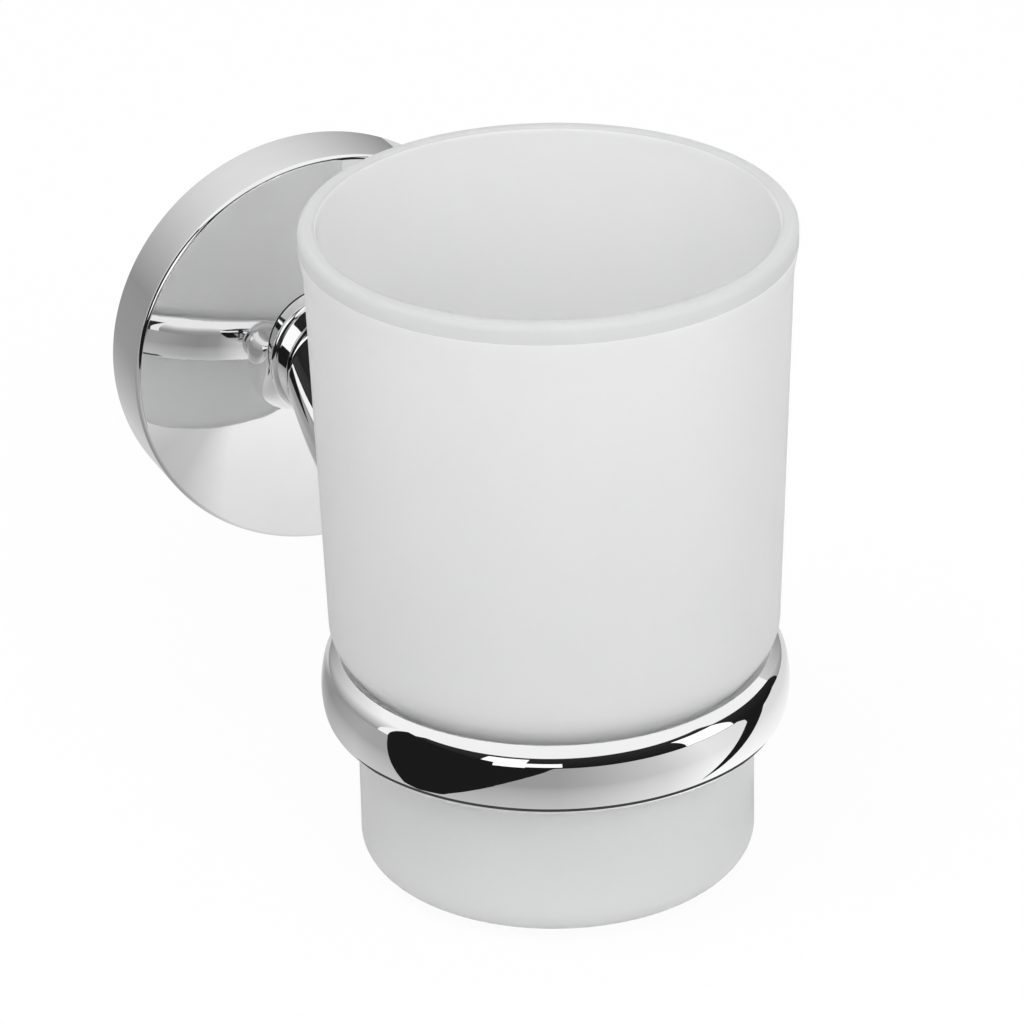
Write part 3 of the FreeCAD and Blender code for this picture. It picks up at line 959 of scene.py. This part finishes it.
    def lay_card(self, name: str, outline: tuple[tuple[float, float], ...], tone: float) -> None:
        """Lays a flat card on the floor.

        Args:
            name: the card's name.
            outline: its few corners, to the camera's right and away from the camera, in metres from the tumbler.
            tone: its brightness.
        """
        mesh = bmesh.new()
        mesh.faces.new([mesh.verts.new(self.frame() @ Vector((x, y, self.card_lift))) for x, y in outline])
        self.stage(mesh, name, self.glow(name, (-1.0, 1.0), (tone, tone)), True)

    def edge_card(self, name: str, across: float, toward: tuple[float, float], height: float, tone: float) -> None:
        """Stands a low straight card on the floor beside the tumbler, along the line of sight.

        Args:
            name: the card's name.
            across: its place to the camera's right of the tumbler, in metres.
            toward: its far and near end, towards the camera.
            height: its height.
            tone: its brightness.
        """
        mesh = bmesh.new()
        ends = [mesh.verts.new(self.frame() @ Vector((across, -place, 0))) for place in toward]
        grown = bmesh.ops.extrude_edge_only(mesh, edges=[mesh.edges.new(ends)])["geom"]
        bmesh.ops.translate(mesh, vec=(0, 0, height), verts=verts_of(grown))
        self.stage(mesh, name, self.glow(name, (-1.0, 1.0), (tone, tone)), True)

    def sweep_shade(self, name: str, sweep: tuple[float, float], radii: tuple[float, float], tone: float) -> None:
        """Lays the shade close round the foot by sweeping a short edge.

        Args:
            name: the shade's name.
            sweep: its first and last angle from the camera's side, in degrees.
            radii: its inner and outer radius in metres.
            tone: its brightness.
        """
        mesh = bmesh.new()
        turned = self.frame() @ Matrix.Rotation(math.radians(sweep[0]), 4, "Z")
        edge = mesh.edges.new([mesh.verts.new(turned @ Vector((0, -radius, self.shade_lift))) for radius in radii])
        bmesh.ops.spin(mesh, geom=list(edge.verts) + [edge], cent=self.middle, axis=(0, 0, 1),
                       angle=math.radians(sweep[1] - sweep[0]), steps=self.shade_steps)
        self.stage(mesh, name, self.glow(name, (-1.0, 1.0), (tone, tone)), True)

    def painted_floor_light_strength(self, tree: Tree) -> Socket:
        """The floor's painted light as only reflections see it, in place of lit paper: brightest near the tumbler and
        to the camera's right.

        Args:
            tree: the floor's node tree.

        Returns:
            The socket of the brightness.
        """
        place = node_at(tree, "ShaderNodeTexCoord", (-1900, -300))
        turn = node_at(tree, "ShaderNodeMapping", (-1700, -300))
        turn.vector_type = "TEXTURE"
        turn.inputs["Location"].default_value = self.middle
        turn.inputs["Rotation"].default_value = (0, 0, math.radians(self.facing))
        parted = node_at(tree, "ShaderNodeSeparateXYZ", (-1500, -300))
        toward = sum_at(tree, "MULTIPLY", (-1300, -400), None, -1.0)
        around = sum_at(tree, "ARCTAN2", (-1100, -300))
        share = node_at(tree, "ShaderNodeMapRange", (-900, -300), From_Min=-math.pi, From_Max=math.pi)
        side = node_at(tree, "ShaderNodeValToRGB", (-700, -300))
        while len(side.color_ramp.elements) < len(self.painted_floor_light):
            side.color_ramp.elements.new(0.5)
        for stop, (angle, tone) in zip(side.color_ramp.elements, self.painted_floor_light):
            stop.position = (angle + 180) / 360
            stop.color = (tone, tone, tone, 1)
        distance = sum_at(tree, "LENGTH", (-1300, -600), kind="ShaderNodeVectorMath")
        near = node_at(tree, "ShaderNodeMapRange", (-1100, -600), From_Min=self.painted_near_range[0],
                       From_Max=self.painted_near_range[1], To_Min=self.painted_near_light, To_Max=0.0)
        lift = sum_at(tree, "ADD", (-400, -400))
        wire(tree, (place, "Object", turn, "Vector"), (turn, "Vector", parted, "Vector"), (parted, "Y", toward, 0),
             (parted, "X", around, 0), (toward, "Value", around, 1), (around, "Value", share, "Value"),
             (share, "Result", side, "Fac"), (turn, "Vector", distance, 0), (distance, "Value", near, "Value"),
             (side, "Color", lift, 0), (near, "Result", lift, 1))
        return lift.outputs["Value"]

    def floor(self) -> None:
        """Lays the pale floor, which shows white and keeps the object's soft shadow."""
        mesh = bmesh.new()
        bmesh.ops.create_grid(mesh, x_segments=2, y_segments=2, size=self.floor_size,
                              matrix=Matrix.Translation((0, 0, self.floor_level)))
        material = bpy.data.materials.new("floor_paper")
        material.use_nodes = True
        tree = material.node_tree
        tree.nodes.clear()
        paper = node_at(tree, "ShaderNodeBsdfDiffuse", (-300, 100), Color=(*[self.paper_shade] * 3, 1))
        white = node_at(tree, "ShaderNodeEmission", (-300, -50), Color=(1, 1, 1, 1), Strength=1.0)
        mirrored = node_at(tree, "ShaderNodeEmission", (-300, -300), Color=(1, 1, 1, 1))
        seen = node_at(tree, "ShaderNodeLightPath", (-900, 300))
        either = sum_at(tree, "ADD", (-700, 300))
        either.use_clamp = True
        share = sum_at(tree, "MULTIPLY", (-500, 300), None, self.paper_glow)
        plain = node_at(tree, "ShaderNodeMixShader", (-50, 100))
        blend = node_at(tree, "ShaderNodeMixShader", (150, 0))
        end = node_at(tree, "ShaderNodeOutputMaterial", (350, 0))
        wire(tree, (seen, "Is Camera Ray", either, 0), (seen, "Is Transmission Ray", either, 1),
             (either, "Value", share, 0), (share, "Value", plain, "Fac"), (paper, "BSDF", plain, 1),
             (white, "Emission", plain, 2))
        # reflections see the floor's painted light in place of lit paper
        tree.links.new(self.painted_floor_light_strength(tree), mirrored.inputs["Strength"])
        wire(tree, (seen, "Is Glossy Ray", blend, "Fac"), (plain, "Shader", blend, 1),
             (mirrored, "Emission", blend, 2), (blend, "Shader", end, "Surface"))
        self.stage(mesh, "floor", material, False)

    def world(self) -> None:
        """Makes the surroundings white where they are seen, and a soft fill where they only light."""
        world = bpy.data.worlds.new("studio")
        bpy.context.scene.world = world
        world.use_nodes = True
        tree = world.node_tree
        tree.nodes.clear()
        fill = node_at(tree, "ShaderNodeBackground", (-200, 100), Color=(1, 1, 1, 1), Strength=self.fill)
        white = node_at(tree, "ShaderNodeBackground", (-200, -100), Color=(1, 1, 1, 1), Strength=1.0)
        seen = node_at(tree, "ShaderNodeLightPath", (-700, 300))
        direct = sum_at(tree, "ADD", (-500, 300))
        shown = sum_at(tree, "ADD", (-350, 300))
        shown.use_clamp = True
        blend = node_at(tree, "ShaderNodeMixShader", (0, 0))
        end = node_at(tree, "ShaderNodeOutputWorld", (200, 0))
        wire(tree, (seen, "Is Camera Ray", direct, 0), (seen, "Is Glossy Ray", direct, 1), (direct, "Value", shown, 0),
             (seen, "Is Transmission Ray", shown, 1), (shown, "Value", blend, "Fac"), (fill, "Background", blend, 1),
             (white, "Background", blend, 2), (blend, "Shader", end, "Surface"))

    def hang(self, lamp: Lamp) -> None:
        """Hangs one lamp so that it faces the tumbler.

        Args:
            lamp: the lamp's name, place, size and power.
        """
        data = bpy.data.lights.new(lamp.name, "AREA")
        data.size = lamp.size
        data.energy = lamp.power
        made = placed(lamp.name, data)
        made.location = self.frame() @ Vector(lamp.place)
        made.rotation_euler = (self.middle - made.location).to_track_quat("-Z", "Y").to_euler()
        made.visible_glossy = False

    def build(self) -> None:
        """Builds the whole studio."""
        self.floor()
        self.world()
        for card in self.cards:
            self.stand_card(card)
        self.edge_card("left_dark_card", self.left_edge, self.left_card_ends, self.left_card_height, self.black)
        self.lay_card("left_dark_floor", self.left_floor, self.black)
        self.sweep_shade("front_shade", self.shade_sweep, self.shade_radii, self.shade_tone)
        self.lay_card("right_dark_gap", self.right_gap, self.black)
        for lamp in self.lamps:
            self.hang(lamp)


@dataclass
class PhotoCamera:
    """Long lens that looks down on the holder from the front left."""

    azimuth: float = -23.356
    elevation: float = 26.9
    roll: float = -1.145
    lens: float = 210.94
    sensor: float = 36.0
    distance: float = 797.44
    target: tuple[float, float, float] = (0.0, -88.0, 4.543)
    offset: tuple[float, float] = (-5.478, 4.323)

    def build(self) -> None:
        """Sets the camera up and makes it the scene's own."""
        a, e, r = (math.radians(value) for value in (self.azimuth, self.elevation, self.roll))
        back = Vector((math.sin(a) * math.cos(e), -math.cos(a) * math.cos(e), math.sin(e)))
        right = Vector((math.cos(a), math.sin(a), 0.0))
        up = back.cross(right)
        right, up = right * math.cos(r) + up * math.sin(r), up * math.cos(r) - right * math.sin(r)
        aim = Vector(self.target) + right * self.offset[0] + up * self.offset[1]
        data = bpy.data.cameras.new("photo_camera")
        data.lens = self.lens
        data.sensor_width = self.sensor
        data.clip_start, data.clip_end = 0.01, 50.0
        made = placed("photo_camera", data)
        turn = Matrix((right, up, back)).transposed().to_4x4()
        made.matrix_world = Matrix.Translation((aim + back * self.distance) * MM) @ turn
        bpy.context.scene.camera = made


def main() -> None:
    """Builds the holder, its studio and its camera in order."""
    logging.basicConfig(level=logging.INFO, format="%(name)s: %(message)s")
    bpy.context.scene.view_settings.view_transform = "Standard"
    finishes = Finishes()
    Tumbler("tumbler", "tumbler_glass", Body.TUMBLER, Slot.GLASS).build(finishes)
    HolderRing("ring", "holder_ring", Body.HOLDER, Slot.CHROME).build(finishes)
    HolderArm("arm", "holder_arm", Body.HOLDER, Slot.CHROME).build(finishes)
    Rosette("wall_cover", "rosette", Body.HOLDER, Slot.CHROME).build(finishes)
    HiddenFixing().dress(frame["nodes"], finishes)
    Studio().build()
    PhotoCamera().build()


if __name__ == "__main__":
    main()
